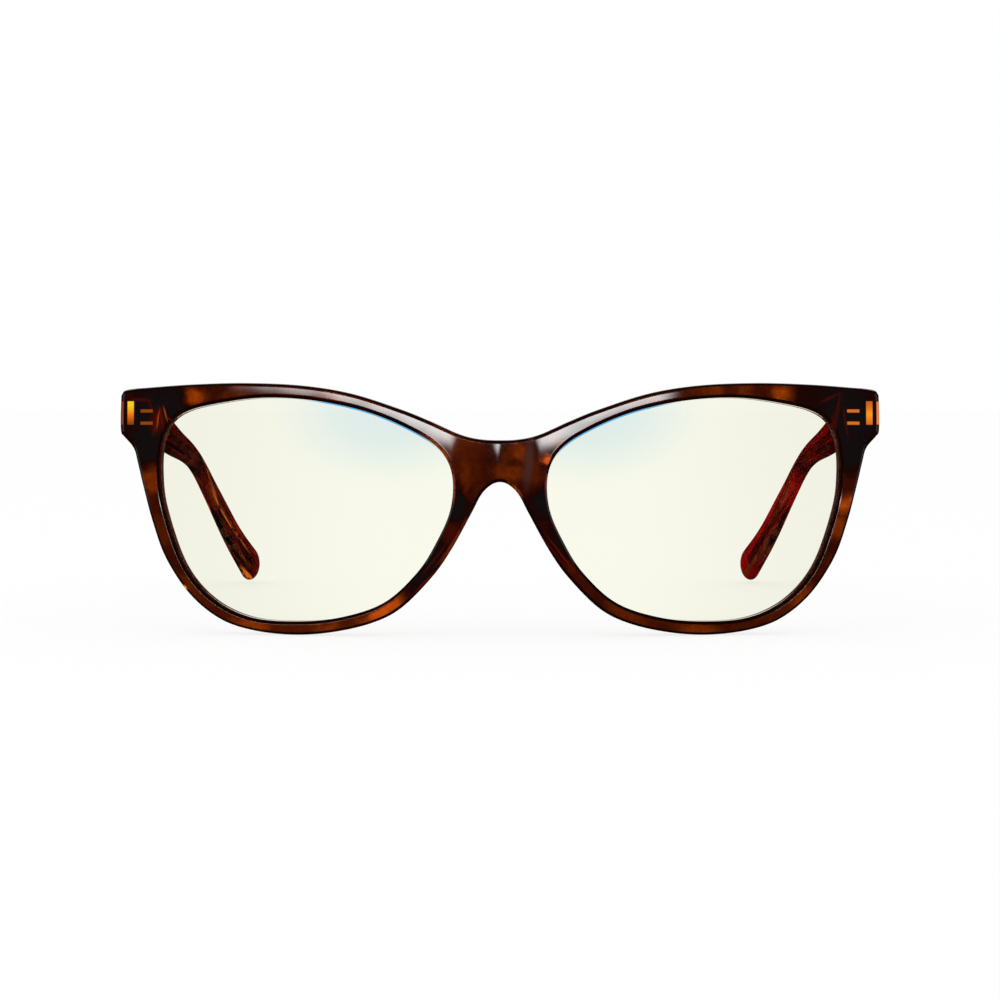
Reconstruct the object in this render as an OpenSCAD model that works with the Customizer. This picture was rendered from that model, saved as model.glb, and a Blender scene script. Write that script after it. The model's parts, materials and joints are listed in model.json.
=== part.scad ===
// Full-rim acetate glasses with flat filter lenses and folding temples.
// The glasses stand open, on the bottoms of both rims and on both temple tips.
//
// Every piece is drawn in the upright frame of the front: x runs to the wearer's left, y runs back
// from the front-most point of the face, and z runs up from the line through the lens centres.
// stand() then leans the glasses back onto the floor. Left pieces are drawn, right ones mirrored.

/* [Front] */
// Overall width of the front
front_w = 140; // [134:1:146]
// Thickness of the acetate front
front_t = 4; // [3.6:0.1:4.4]
// Radius of the shallow dome that the front is formed to
face_r = 265; // [245:5:290]
// Distance from the front-most point back to the joint with the temples
joint_y = 15; // [14.5:0.1:16]

/* [Lenses] */
// Thickness of each lens
lens_t = 2; // [1.8:0.1:2.4]
// Depth of the groove that holds the lens edge
groove_depth = 0.7; // [0.5:0.1:0.9]
// Thickness of the lens edge that sits in the groove
lens_edge_t = 0.8; // [0.6:0.1:1]
// Play between the lens edge and each side of the groove
lens_play = 0.05; // [0.02:0.01:0.1]

/* [Nose pads] */
// Angle that each pad splays out towards the back
pad_splay = 12; // [6:1:16]
// Radius of the domed back of a pad
pad_dome_r = 9; // [8.5:0.1:9.5]

/* [Hinges] */
// Height of the hinge centre above the lens centre line
hinge_z = 16.9; // [16.5:0.1:17.2]
// Outer diameter of the hinge knuckles
knuckle_d = 3; // [2.6:0.1:3.2]
// Height of each of the five knuckles
knuckle_h = 1.3; // [1.2:0.05:1.4]
// Diameter of the hinge screw
screw_d = 1.4; // [1.2:0.1:1.6]
// Diameter of the screw head
head_d = 2.4; // [2:0.1:2.6]
// Height of the screw head
head_h = 0.7; // [0.5:0.1:0.9]
// Thickness of the hinge plates
plate_t = 1; // [0.8:0.1:1.1]
// Length of the plate sunk into the temple
temple_plate_l = 9; // [7:0.5:12]

/* [Temples] */
// Gap between the temple butt and the end piece when open
joint_gap = 0.1; // [0.05:0.05:0.2]
// Diameter of the core wire over the ear
wire_d = 1.4; // [1:0.1:1.6]
// How much thicker the wire is towards the hinge, and thinner towards the tip
wire_step = 0.15; // [0.05:0.05:0.2]
// Radius that the core wire is bent to over the ear
wire_bend_r = 25; // [18:1:35]

/* [Hidden] */

tortoise = [0.20, 0.09, 0.04];
steel = [0.72, 0.72, 0.70];
lens_tint = [0.95, 0.95, 0.86, 0.45];

round_fn = 48;      // facets on pins and bores
dome_fn = 300;      // facets on the large dome
span_steps = 4;     // straight steps between neighbouring outline points
far = 40;           // longer than any depth through the front

// The outlines below are drawn for a front of this width and are stretched to front_w.
drawn_w = 140.2;
stretch = front_w / drawn_w;

// One half of the front's outline, from the top of the bridge round to its underside.
half_outline = [
    [0, 12.5], [3.6, 12.7], [7.3, 13.6], [12.7, 16], [18.2, 18.2], [27.3, 21.1], [36.5, 22.6],
    [47, 23.1], [57, 22.9], [65, 22.4], [68.6, 21.9], [69.8, 21], [70.1, 19.6], [70.1, 14.6],
    [69.4, 13.3], [67.7, 11.2], [66.8, 8.7], [65.7, 4.3], [63.9, -2.3], [61.4, -9], [57, -15.5],
    [51.6, -19.9], [45.7, -22], [38.3, -22.85], [31, -22.4], [23.7, -20.75], [18.2, -18],
    [12.7, -12.5], [9.1, -7.4], [5.4, -0.7], [3.6, 2.7], [1.8, 4.5], [0, 5.1],
];
// The opening for one lens, about the lens centre, in the plane square to the lens axis.
lens_outline = [
    [26.7, 0], [27.6, 6.5], [27.3, 12], [25.8, 15.7], [22.9, 17.9], [17.6, 19.3], [8.6, 20.4],
    [-1, 19.9], [-10.3, 18], [-18, 15], [-24, 11.3], [-26.7, 6.5], [-26.5, 0], [-23.8, -6.3],
    [-20.3, -11.7], [-14.3, -17.1], [-6.4, -19.8], [2, -20.6], [10.5, -19.9], [17.6, -16.5],
    [23, -10.2],
];
lens_centre_x = 35.5 * stretch;
lens_axis_angle = asin(lens_centre_x / face_r);
groove_mid = 2.2;   // depth of the middle of the groove behind the front face
lens_face = groove_mid - lens_t / 2;

// The foot of the left nose pad on the back of the rim: a slim ridge along the rim's nasal edge.
pad_outline = [
    [5, 1.4], [5.8, 2.6], [7, 2.2], [7.9, -0.4], [9.9, -4.8], [12.8, -9.8], [13.9, -12.2],
    [12.9, -12.4], [9.3, -7.4], [7.2, -3.6], [5.6, -0.5],
];
pad_dome_centre = [10, 2.6, -5];
pad_pivot = [9, 4, 0];

// Hinge: the axis stands just inside the inner face of the temple, in the joint plane.
temple_inner_x = 64.3 * stretch;
axis_gap = 0.1;
axis_x = temple_inner_x - knuckle_d / 2 - axis_gap;
end_piece_low = hinge_z - 4.5;
end_piece_bevel = 18;       // angle of the outer side of the end piece
end_piece_back_x = 68.9 * stretch;
knuckle_gap = 0.05;         // above and below each turning knuckle
hinge_h = 5 * knuckle_h;
hinge_low = hinge_z - hinge_h / 2;
front_plate_w = 3.4;
prong = [2.4, 2.6, 0.7];    // width, length and height of the prongs sunk into the end piece
prong_pitch = 2.2;
temple_prong_l = 0.3;
slot_w = 0.35;              // screwdriver slot

// Temple: stations of [x, y, z, half height square to the run, half thickness].
temple_path = [
    [66.6, 15, 16.85, 4.45, 2.2],
    [65.9, 38, 15.2, 3.25, 1.85],
    [65.3, 60, 13.05, 2.6, 1.65],
    [64.8, 82, 11.2, 2.1, 1.55],
    [64.2, 97, 8.5, 1.9, 1.55],
    [62.6, 113, 2.3, 2.1, 1.65],
    [60, 129, -6.4, 3, 1.8],
    [57.4, 142.5, -13.5, 3.6, 1.8],
];
// Core wire: butt end, corner of the bend, and tip end.
wire_path = [[66.5, 19, 16.2], [64.4, 97.5, 9.5], [58.3, 139, -11.6]];

// ---- Curves -------------------------------------------------------------------------------------

// Smooth curve through b and c, with a before and d after.
function between(a, b, c, d, t) =
    0.5 * (2 * b + (c - a) * t + (2 * a - 5 * b + 4 * c - d) * t * t
           + (3 * b - a - 3 * c + d) * t * t * t);

function open_curve(p) = [
    for (i = [0 : len(p) - 2], j = [0 : span_steps - 1])
        between(p[max(i - 1, 0)], p[i], p[i + 1], p[min(i + 2, len(p) - 1)], j / span_steps),
    p[len(p) - 1],
];

function closed_curve(p) = let (n = len(p)) [
    for (i = [0 : n - 1], j = [0 : span_steps - 1])
        between(p[(i + n - 1) % n], p[i], p[(i + 1) % n], p[(i + 2) % n], j / span_steps),
];

// A closed anticlockwise loop grown outwards by d.
function grown(p, d) = let (n = len(p)) [
    for (i = [0 : n - 1])
        let (run = p[(i + 1) % n] - p[(i + n - 1) % n])
            p[i] + d * [run.y, -run.x] / norm(run)
];

function stretched(p) = [for (q = p) [q.x * stretch, q.y]];
function reversed(p) = [for (i = [len(p) - 1 : -1 : 0]) p[i]];

// How far behind the front-most point the front lies at (x, z), at a given depth in its thickness.
function face_y(x, z, depth) = face_r - sqrt(pow(face_r - depth, 2) - x * x - z * z);

outline_half = stretched(open_curve(half_outline));
outline = concat(reversed(outline_half), [
    for (i = [1 : len(outline_half) - 2]) [-outline_half[i].x, outline_half[i].y]
]);
lens_hole = stretched(closed_curve(lens_outline));

// ---- How the glasses stand ----------------------------------------------------------------------

temple_stations = [for (s = open_curve(temple_path)) [s[0] * stretch, s[1], s[2], s[3], s[4]]];
temple_count = len(temple_stations);

// Edge of the temple in a plane: the run's axis a and height b, offset by width w to one side.
function edge(a, b, w, side) = [
    for (i = [0 : temple_count - 1])
        let (
            before = temple_stations[max(i - 1, 0)],
            after = temple_stations[min(i + 1, temple_count - 1)],
            here = temple_stations[i],
            run = [after[a] - before[a], after[b] - before[b]]
        )
            [here[a], here[b]] + side * here[w] * [-run.y, run.x] / norm(run)
];

// Round end of the temple in a plane, from the first side to the second.
function tip_cap(a, b, w) =
    let (
        last = temple_stations[temple_count - 1],
        before = temple_stations[temple_count - 2],
        heading = atan2(last[b] - before[b], last[a] - before[a])
    ) [
        for (turn = [75 : -15 : -75])
            [last[a], last[b]] + last[w] * [cos(heading + turn), sin(heading + turn)]
    ];

temple_side = concat(edge(1, 2, 3, 1), tip_cap(1, 2, 3), reversed(edge(1, 2, 3, -1)));

outline_z = [for (q = outline_half) q.y];
lowest = outline_half[search(min(outline_z), outline_z)[0]];
rim_foot = [face_y(lowest.x, lowest.y, front_t), lowest.y];

// The lean is the slope of the line from the rim's foot that just touches the temple from below.
lean = min([for (q = temple_side) if (q.x > joint_y + far) atan2(q.y - rim_foot.y, q.x - rim_foot.x)]);
floor_z = min([for (q = outline_half) q.y * cos(lean) - face_y(q.x, q.y, front_t) * sin(lean)]);
front_most = min([for (q = outline_half) face_y(q.x, q.y, 0) * cos(lean) + q.y * sin(lean)]);
rear_most = max([for (q = temple_side) q.x * cos(lean) + q.y * sin(lean)]);

module stand() {
    translate([0, -(front_most + rear_most) / 2, -floor_z]) rotate([-lean, 0, 0]) children();
}

module right_hand() {
    mirror([1, 0, 0]) children();
}

// ---- Shared shapes ------------------------------------------------------------------------------

// A loop drawn in the x-z plane, pushed back from y = from to y = to.
module pushed_back(loop, from, to) {
    translate([0, to, 0]) rotate([90, 0, 0]) linear_extrude(to - from) polygon(loop);
}

// The ball inside the surface that lies at this depth in the front.
module dome(depth) {
    translate([0, face_r, 0]) sphere(face_r - depth, $fn = dome_fn);
}

// Turns its children from straight ahead to the left lens axis.
module on_lens_axis() {
    translate([0, face_r, 0]) rotate([0, 0, lens_axis_angle]) translate([0, -face_r, 0]) children();
}

// The part of a pushed-back lens loop that lies between two depths of the dome.
module lens_layer(grow, from, to) {
    difference() {
        intersection() {
            on_lens_axis() pushed_back(grown(lens_hole, grow), -1, far / 2);
            dome(from);
        }
        dome(to);
    }
}

module hinge_pin(d, low, high) {
    translate([axis_x, joint_y, low]) cylinder(h = high - low, d = d, $fn = round_fn);
}

// ---- Front --------------------------------------------------------------------------------------

// Keeps the end piece thick enough to reach back to the joint.
module end_piece_block() {
    translate([temple_inner_x, 0, end_piece_low]) cube([far, joint_y + 1, far]);
}

// Bevels the outer side of the end piece so that it meets the temple.
module end_piece_side_cut() {
    translate([end_piece_back_x, joint_y, 0]) rotate([0, 0, end_piece_bevel])
        translate([0, -far, 0]) cube([far, 2 * far, far]);
}

module side_cuts() {
    on_lens_axis() pushed_back(lens_hole, -1, far / 2);
    lens_layer(groove_depth, groove_mid - lens_edge_t / 2 - lens_play,
               groove_mid + lens_edge_t / 2 + lens_play);
    end_piece_side_cut();
    front_leaf_plate();
    front_leaf_prongs();
}

module front_frame() {
    color(tortoise) difference() {
        intersection() {
            pushed_back(outline, -1, joint_y);
            dome(0);
        }
        difference() {
            dome(front_t);
            end_piece_block();
            right_hand() end_piece_block();
        }
        side_cuts();
        right_hand() side_cuts();
    }
}

module lens() {
    color(lens_tint) union() {
        lens_layer(-0.1, lens_face, lens_face + lens_t);
        lens_layer(groove_depth, groove_mid - lens_edge_t / 2, groove_mid + lens_edge_t / 2);
    }
}

module nose_pad() {
    color(tortoise) intersection() {
        translate(pad_pivot) rotate([0, 0, -pad_splay]) translate(-pad_pivot)
            pushed_back(stretched(reversed(closed_curve(pad_outline))), 0, far / 2);
        dome(front_t);
        translate(pad_dome_centre) sphere(pad_dome_r, $fn = 2 * round_fn);
    }
}

// ---- Hinge --------------------------------------------------------------------------------------

module front_leaf_plate() {
    translate([temple_inner_x, joint_y - plate_t, hinge_low]) cube([front_plate_w, plate_t, hinge_h]);
}

module front_leaf_prongs() {
    for (side = [-1, 1])
        translate([temple_inner_x, joint_y - plate_t - prong.y,
                   hinge_z + side * prong_pitch / 2 - prong.z / 2])
            cube(prong);
}

// One knuckle of the front leaf, with the web that joins it to the plate.
module front_knuckle(level) {
    low = hinge_low + level * knuckle_h;
    hinge_pin(knuckle_d, low, low + knuckle_h);
    translate([axis_x, joint_y - plate_t, low]) cube([temple_inner_x - axis_x, plate_t, knuckle_h]);
}

module front_hinge() {
    color(steel) difference() {
        union() {
            front_leaf_plate();
            front_leaf_prongs();
            for (level = [0, 2, 4]) front_knuckle(level);
        }
        hinge_pin(screw_d, hinge_low - 1, hinge_low + hinge_h + 1);
    }
}

module temple_leaf_plate() {
    translate([temple_inner_x, joint_y + joint_gap, hinge_low + knuckle_h / 2])
        cube([plate_t, temple_plate_l, 4 * knuckle_h]);
}

module temple_leaf_prongs() {
    for (along = [0.45, 0.8])
        translate([temple_inner_x, joint_y + joint_gap + along * temple_plate_l, hinge_z])
            rotate([0, 90, 0]) cylinder(h = plate_t + temple_prong_l, d = 1, $fn = round_fn);
}

module temple_knuckle(level) {
    low = hinge_low + level * knuckle_h + knuckle_gap;
    high = hinge_low + (level + 1) * knuckle_h - knuckle_gap;
    hinge_pin(knuckle_d, low, high);
    translate([axis_x, joint_y + joint_gap, low])
        cube([temple_inner_x - axis_x, plate_t, high - low]);
}

module temple_hinge() {
    color(steel) difference() {
        union() {
            temple_leaf_plate();
            temple_leaf_prongs();
            for (level = [1, 3]) temple_knuckle(level);
        }
        hinge_pin(screw_d + 2 * knuckle_gap, hinge_low - 1, hinge_low + hinge_h + 1);
    }
}

module hinge_screw() {
    top = hinge_low + hinge_h;
    color(steel) difference() {
        union() {
            hinge_pin(screw_d, hinge_low, top);
            hinge_pin(head_d, top, top + head_h);
        }
        translate([axis_x - head_d, joint_y - slot_w / 2, top + head_h / 2])
            cube([2 * head_d, slot_w, head_h]);
    }
}

// ---- Temple -------------------------------------------------------------------------------------

wire_points = [for (p = wire_path) [p.x * stretch, p.y, p.z]];

// A bar along the core wire: a straight leg, an arc over the ear, and a thinner straight leg. Each
// thinner stretch starts inside the thicker one before it.
module wire_bar() {
    first = wire_points[1] - wire_points[0];
    second = wire_points[2] - wire_points[1];
    along = first / norm(first);
    heading = second / norm(second);
    bend = acos(along * heading);
    sideways = (heading - cos(bend) * along) / sin(bend);
    up = cross(along, sideways);
    start = wire_points[0];
    tangent = wire_bend_r * tan(bend / 2);
    inside = 0.4;
    multmatrix([
        [along.x, sideways.x, up.x, start.x],
        [along.y, sideways.y, up.y, start.y],
        [along.z, sideways.z, up.z, start.z],
    ]) {
        rotate([0, 90, 0])
            cylinder(h = norm(first) - tangent + inside, d = wire_d + wire_step, $fn = round_fn);
        translate([norm(first) - tangent, wire_bend_r, 0]) {
            rotate([0, 0, -90]) rotate_extrude(angle = bend, $fn = 8 * round_fn)
                translate([wire_bend_r, 0]) circle(d = wire_d, $fn = round_fn);
            rotate([0, 0, bend]) translate([-inside, -wire_bend_r, 0]) rotate([0, 90, 0])
                cylinder(h = norm(second) - tangent + inside, d = wire_d - wire_step, $fn = round_fn);
        }
    }
}

module core_wire() {
    color(steel) wire_bar();
}

// Where the temple may be, seen from above, with its tip left square.
module temple_plan() {
    tip = temple_stations[temple_count - 1];
    inner = [for (q = edge(0, 1, 4, 1)) [q.x, q.y]];
    outer = [for (q = edge(0, 1, 4, -1)) [q.x, q.y]];
    run_out = [-0.22, 1] * 2 * tip[3];
    translate([0, 0, -far]) linear_extrude(2 * far)
        polygon(concat(outer, [outer[temple_count - 1] + run_out],
                       [inner[temple_count - 1] + run_out], reversed(inner)));
}

module temple_blank() {
    intersection() {
        temple_plan();
        rotate([90, 0, 90]) linear_extrude(2 * far) polygon(temple_side);
        translate([0, joint_y + joint_gap, -far]) cube([2 * far, 4 * far, 2 * far]);
    }
}

module temple() {
    color(tortoise) difference() {
        temple_blank();
        temple_leaf_plate();
        temple_leaf_prongs();
        translate([temple_inner_x - plate_t, joint_y, hinge_low + knuckle_h / 2])
            cube([plate_t + 0.01, joint_gap + temple_plate_l, 4 * knuckle_h]);
        wire_bar();
    }
}

// ---- Nodes --------------------------------------------------------------------------------------

stand() front_frame();
stand() lens();  // left_lens
stand() right_hand() lens();  // right_lens
stand() nose_pad();  // left_nose_pad
stand() right_hand() nose_pad();  // right_nose_pad
stand() front_hinge();  // left_front_hinge
stand() right_hand() front_hinge();  // right_front_hinge
stand() hinge_screw();  // left_hinge_screw
stand() right_hand() hinge_screw();  // right_hinge_screw
stand() temple_hinge();  // left_temple_hinge
stand() right_hand() temple_hinge();  // right_temple_hinge
stand() temple();  // left_temple
stand() right_hand() temple();  // right_temple
stand() core_wire();  // left_core_wire
stand() right_hand() core_wire();  // right_core_wire
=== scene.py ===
"""Full-rim tortoise acetate glasses with pale filter lenses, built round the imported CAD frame.

Shapes are drawn in the upright frame of the front, in millimetres: x to the wearer's left, y back
from the front-most point of the face, z up from the line through the lens centres. FRONT_TO_ROW
takes them to the row frame, in metres, and the materials use the same front coordinates.
"""
import json
import math

import bmesh
import bpy
from mathutils import Matrix, Vector


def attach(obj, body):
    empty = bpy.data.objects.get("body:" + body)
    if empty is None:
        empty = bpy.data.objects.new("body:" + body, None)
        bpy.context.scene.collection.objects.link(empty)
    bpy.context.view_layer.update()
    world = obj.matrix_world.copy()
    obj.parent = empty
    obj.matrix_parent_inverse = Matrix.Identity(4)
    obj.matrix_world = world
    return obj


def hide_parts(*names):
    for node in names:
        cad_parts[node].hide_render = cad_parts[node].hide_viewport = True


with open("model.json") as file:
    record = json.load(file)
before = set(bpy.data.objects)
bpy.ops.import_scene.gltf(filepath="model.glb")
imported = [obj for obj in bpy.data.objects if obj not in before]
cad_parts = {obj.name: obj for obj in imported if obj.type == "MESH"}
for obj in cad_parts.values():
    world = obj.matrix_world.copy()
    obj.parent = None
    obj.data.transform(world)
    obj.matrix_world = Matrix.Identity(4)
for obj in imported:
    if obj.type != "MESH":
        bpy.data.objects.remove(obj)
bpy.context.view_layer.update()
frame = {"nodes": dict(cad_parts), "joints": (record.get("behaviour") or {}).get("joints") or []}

# ---- The front's frame --------------------------------------------------------------------------

MM = 0.001
FACE_R = 265.0              # radius of the dome that the front is formed to
FRONT_T = 4.0               # thickness of the acetate front
STRETCH = 140 / 140.2       # drawn outlines to the real width
HINGE_Z = 16.9
JOINT_Y = 15.0
TEMPLE_INNER_X = 64.3 * STRETCH
AXIS_X = TEMPLE_INNER_X - 1.6
LENS_CENTRE_X = 35.5 * STRETCH
LENS_AXIS_ANGLE = math.asin(LENS_CENTRE_X / FACE_R)
DOME_CENTRE = Vector((0, FACE_R, 0))

fold = next(j for j in frame["joints"] if j["name"] == "left_temple_fold")
lean = math.atan2(fold["axis"][1], fold["axis"][2])
turned = Matrix.Rotation(-lean, 4, "X") @ Matrix.Scale(MM, 4)
offset = Vector(fold["pos_m"]) - turned @ Vector((AXIS_X, JOINT_Y, HINGE_Z))
FRONT_TO_ROW = Matrix.Translation(offset) @ turned


# ---- Curves -------------------------------------------------------------------------------------

def between(a, b, c, d, t):
    """Smooth curve through b and c, with a before and d after."""
    return tuple(
        0.5 * (2 * q + (r - p) * t + (2 * p - 5 * q + 4 * r - s) * t * t
               + (3 * q - p - 3 * r + s) * t ** 3)
        for p, q, r, s in zip(a, b, c, d)
    )


def open_curve(points, steps):
    padded = [points[0], *points, points[-1]]
    curve = [
        between(*padded[i:i + 4], j / steps)
        for i in range(len(points) - 1) for j in range(steps)
    ]
    return curve + [tuple(points[-1])]


def closed_curve(points, steps):
    n = len(points)
    return [
        between(points[i - 1], points[i], points[(i + 1) % n], points[(i + 2) % n], j / steps)
        for i in range(n) for j in range(steps)
    ]


def smooth(low, high, value):
    t = min(1.0, max(0.0, (value - low) / (high - low)))
    return t * t * (3 - 2 * t)


def mixed(a, b, t):
    return a + (b - a) * t


# ---- Meshes -------------------------------------------------------------------------------------

SHARP_ANGLE = math.radians(38)


def make_piece(name, points, faces, sharp=SHARP_ANGLE, weld=0.0):
    """A smooth-shaded object from points in the front's frame, placed in the row frame."""
    mesh = bpy.data.meshes.new(name)
    mesh.from_pydata([FRONT_TO_ROW @ Vector(p) for p in points], [], faces)
    form = bmesh.new()
    form.from_mesh(mesh)
    if weld:
        bmesh.ops.remove_doubles(form, verts=form.verts, dist=weld)
    bmesh.ops.recalc_face_normals(form, faces=form.faces)
    form.to_mesh(mesh)
    form.free()
    mesh.polygons.foreach_set("use_smooth", [True] * len(mesh.polygons))
    mesh.set_sharp_from_angle(angle=sharp)
    piece = bpy.data.objects.new(name, mesh)
    bpy.context.scene.collection.objects.link(piece)
    return piece


class Grid:
    """Collects points and quads, a strip of columns at a time."""

    def __init__(self):
        self.points = []
        self.faces = []

    def add(self, point):
        self.points.append(point)
        return len(self.points) - 1

    def column(self, points, side):
        """Adds points drawn for the left, on the left (side 1) or mirrored (side -1)."""
        return [self.add(Vector((side * p[0], p[1], p[2]))) for p in points]

    def strip(self, columns, closed=False):
        """Joins each column to the next, with a triangle where two corners are one point."""
        pairs = list(zip(columns, columns[1:]))
        if closed:
            pairs.append((columns[-1], columns[0]))
        for a, b in pairs:
            for i in range(len(a) - 1):
                corners = [a[i], a[i + 1], b[i + 1], b[i]]
                face = [c for k, c in enumerate(corners) if c != corners[k - 1]]
                if len(face) > 2:
                    self.faces.append(face)

    def cap(self, loop, centre):
        """Closes a loop of points with a fan about its centre."""
        middle = self.add(centre)
        for a, b in zip(loop, loop[1:] + loop[:1]):
            self.faces.append([a, b, middle])


# ---- Outlines of the front ----------------------------------------------------------------------

HALF_OUTLINE = [
    (0, 12.5), (3.6, 12.7), (7.3, 13.6), (12.7, 16), (18.2, 18.2), (27.3, 21.1), (36.5, 22.6),
    (47, 23.1), (57, 22.9), (65, 22.4), (69, 22.1), (70.1, 21.3), (70.3, 19.9), (70.3, 14.6),
    (69.6, 13.3), (67.7, 11.2), (66.8, 8.7), (65.7, 4.3), (63.9, -2.3), (61.4, -9), (57, -15.5),
    (51.6, -19.9), (45.7, -22), (38.3, -22.85), (31, -22.4), (23.7, -20.75), (18.2, -18),
    (12.7, -12.5), (9.1, -7.4), (5.4, -0.7), (3.6, 2.7), (1.8, 4.5), (0, 5.1),
]
LENS_OUTLINE = [
    (26.7, 0), (27.6, 6.5), (27.3, 12), (25.8, 15.7), (22.9, 17.9), (17.6, 19.3), (8.6, 20.4),
    (-1, 19.9), (-10.3, 18), (-18, 15), (-24, 11.3), (-26.7, 6.5), (-26.5, 0), (-23.8, -6.3),
    (-20.3, -11.7), (-14.3, -17.1), (-6.4, -19.8), (2, -20.6), (10.5, -19.9), (17.6, -16.5),
    (23, -10.2),
]
OUTLINE_STEPS = 8
OUTLINE_EASE = 0.15         # the rounded edge reads this much smaller than the outline
MIDLINE_COLUMNS = 14
EASING_PASSES = 14
EASED_BELOW = (8, 13)       # the ease fades out between these heights
GROOVE = (1.75, 2.65, 0.7)  # front depth, back depth and how far it is cut out
GROOVE_LIP = 0.02
OUTER_ROUND = 0.72          # rounding of the front's outer edges
END_PIECE_ROUND = 1.15      # and of the end pieces, from here out and up:
ROUNDER_X = (66, 69)
ROUNDER_Z = (6, 12)
END_PIECE_X = (63.9, 64.7)  # where the back steps out to the joint plane
END_PIECE_Z = (12.1, 12.9)
END_PIECE_PLAY = 0.04       # from the end piece's back to the joint plane
INNER_ROUND = 0.5           # rounding from the face down to each opening's chamfer
CHAMFER = 0.26
WALL_BAND = 0.05            # faces this near the opening's outline are its wall
BACK_ROUND = 0.5
CREASE_X = 6.8              # the bridge is a low ridge between two creases
RIDGE_X = -0.5
RIDGE_ROUND = 1.5
CREASE_DEPTH = 0.45
CREASE_BLEND = 0.3          # share of the depth over which the ridge turns into the crease
FADE_START = CREASE_X - 8   # the creases fade out into the brows between these places
FADE_END = CREASE_X + 17
FADE_AT_CREASE = 0.745


def at_depth(x, z, depth):
    """The point at a depth behind (x, z) on the face, along the dome's normal."""
    k = 1 - depth / FACE_R
    return Vector((x * k, FACE_R - k * math.sqrt(FACE_R ** 2 - x * x - z * z), z * k))


def behind_lens_plane(flat, depth):
    """The point at a depth in the front, straight behind a point of the left lens plane."""
    u, v = flat
    reach = -math.sqrt((FACE_R - depth) ** 2 - u * u - v * v)
    cos_a, sin_a = math.cos(LENS_AXIS_ANGLE), math.sin(LENS_AXIS_ANGLE)
    return DOME_CENTRE + Vector((u * cos_a - reach * sin_a, u * sin_a + reach * cos_a, v))


def in_lens_plane(point):
    """The point's place about the left lens axis, whatever its depth."""
    away = point - DOME_CENTRE
    return Vector((away.x * math.cos(LENS_AXIS_ANGLE) + away.y * math.sin(LENS_AXIS_ANGLE), away.z))


def on_face(point):
    """Where the normal through a point meets the face, as (x, z)."""
    way = (point - DOME_CENTRE).normalized() * FACE_R
    return Vector((way.x, way.z))


def normals_of(loop, closed):
    """Unit normals to the right of the way round the loop."""
    n = len(loop)
    found = []
    for i in range(n):
        a = loop[i - 1] if closed or i else loop[0]
        b = loop[(i + 1) % n] if closed or i < n - 1 else loop[-1]
        run = Vector((b[0] - a[0], b[1] - a[1])).normalized()
        found.append(Vector((run.y, -run.x)))
    return found


class Opening:
    """The left lens opening as a polar curve about the lens axis, in the lens plane."""

    def __init__(self):
        around = [Vector((u * STRETCH, v)) for u, v in closed_curve(LENS_OUTLINE, OUTLINE_STEPS)]
        polar = sorted((math.atan2(p.y, p.x), p.length) for p in around)
        turn = 2 * math.pi
        self.table = (
            [(a - turn, r) for a, r in polar] + polar + [(a + turn, r) for a, r in polar]
        )

    def at(self, angle):
        angle = math.atan2(math.sin(angle), math.cos(angle))
        low, high = 0, len(self.table) - 1
        while high - low > 1:
            middle = (low + high) // 2
            if self.table[middle][0] <= angle:
                low = middle
            else:
                high = middle
        (a0, r0), (a1, r1) = self.table[low], self.table[high]
        radius = mixed(r0, r1, (angle - a0) / (a1 - a0))
        return radius * Vector((math.cos(angle), math.sin(angle)))


def bridge_relief(x):
    """How far the face is cut back beside the low ridge down the middle of the bridge."""
    from_ridge = x - RIDGE_X
    to_crease = CREASE_X - math.copysign(RIDGE_X, from_ridge)
    full = math.sqrt(to_crease ** 2 + RIDGE_ROUND ** 2) - RIDGE_ROUND
    rise = (math.sqrt(from_ridge ** 2 + RIDGE_ROUND ** 2) - RIDGE_ROUND) / full
    fade = (1 - smooth(FADE_START, FADE_END, abs(x))) / FADE_AT_CREASE
    close = max(CREASE_BLEND - abs(rise - fade), 0) / CREASE_BLEND
    return CREASE_DEPTH * max(0, min(rise, fade) - CREASE_BLEND / 4 * close * close)


def edge_round(x, z):
    """Rounding of the front's outer edge at a point of the outline."""
    return mixed(OUTER_ROUND, END_PIECE_ROUND, smooth(*ROUNDER_X, x) * smooth(*ROUNDER_Z, z))


def back_depth(x, z):
    """Depth of the back face, which reaches the joint plane over the end piece."""
    k = 1 - FRONT_T / FACE_R
    level = math.sqrt(FACE_R ** 2 - x * x - z * z)
    to_joint = FACE_R - FACE_R * (FACE_R - JOINT_Y + END_PIECE_PLAY) / level
    end_piece = smooth(*END_PIECE_X, x * k) * smooth(*END_PIECE_Z, z * k)
    return mixed(FRONT_T, max(FRONT_T, to_joint), end_piece)


# ---- Front --------------------------------------------------------------------------------------

FACE_ROWS = 18
BACK_ROWS = 26
ROUND_STEPS = 5
BACK_ROUND_STEPS = 3
FACE_HEM = 0.06             # narrow band at each end of the face, which keeps its shading even
WELD = 0.002                # the two halves meet this closely on the midline


def arc(steps):
    return [math.pi / 2 * i / steps for i in range(steps + 1)]


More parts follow.
